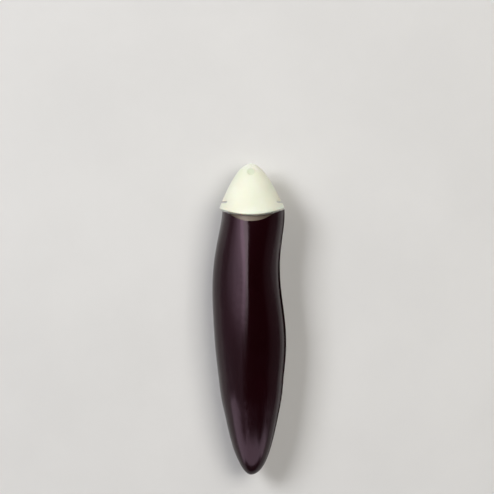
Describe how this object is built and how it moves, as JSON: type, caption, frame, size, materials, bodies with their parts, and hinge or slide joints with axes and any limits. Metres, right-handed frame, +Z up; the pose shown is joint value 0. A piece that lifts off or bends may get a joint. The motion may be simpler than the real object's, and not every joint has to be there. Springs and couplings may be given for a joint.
{
  "type": "chalk tracing wheel",
  "caption": "Chalk tracing wheel pen: ergonomic handle with a soft ridge, pull-out chalk cartridge, and a toothed wheel in the nose.",
  "frame": {"origin": "on the table under the middle of the pen's length, as it lies on its flat", "axes": "+Y along the pen from its tail to the wheel, +Z up as it lies, +X to the right seen from above with the nose ahead"},
  "size_m": [0.0284, 0.1199, 0.024],
  "materials": {
    "handle": "glossy dark aubergine moulded plastic",
    "collar": "fine matt beige-grey moulded plastic",
    "core": "matt grey moulded plastic",
    "nose": "satin off-white moulded plastic",
    "insert": "matt off-white moulded plastic",
    "seal": "black rubber",
    "reservoir": "translucent natural plastic",
    "plug": "soft pale grey plastic",
    "chalk": "loose white chalk powder",
    "wheel_steel": "stamped steel",
    "axle_steel": "ground steel pin"
  },
  "bodies": {
    "handle": {"handle_top_shell": "handle", "handle_bottom_shell": "handle", "front_collar": "collar", "core_sleeve": "core"},
    "cartridge": {"nose_cone": "nose", "feed_funnel": "insert", "cartridge_collar": "insert", "retaining_ring": "seal", "chalk_reservoir": "reservoir", "chalk_powder": "chalk", "wheel_axle": "axle_steel", "axle_caps": "nose"},
    "wheel": {"tracing_wheel": "wheel_steel"},
    "plug": {"reservoir_plug": "plug"}
  },
  "joints": [
    {"name": "cartridge_slide", "type": "slide", "parent": "handle", "child": "cartridge", "axis": [0, 1, 0], "range_m": [0, 0.066]},
    {"name": "wheel_spin", "type": "hinge", "parent": "cartridge", "child": "wheel", "pos_m": [0, 0.05635, 0.012], "axis": [0, 0, 1], "continuous": true},
    {"name": "plug_slide", "type": "slide", "parent": "cartridge", "child": "plug", "axis": [0, -1, 0], "range_m": [0, 0.008]}
  ]
}
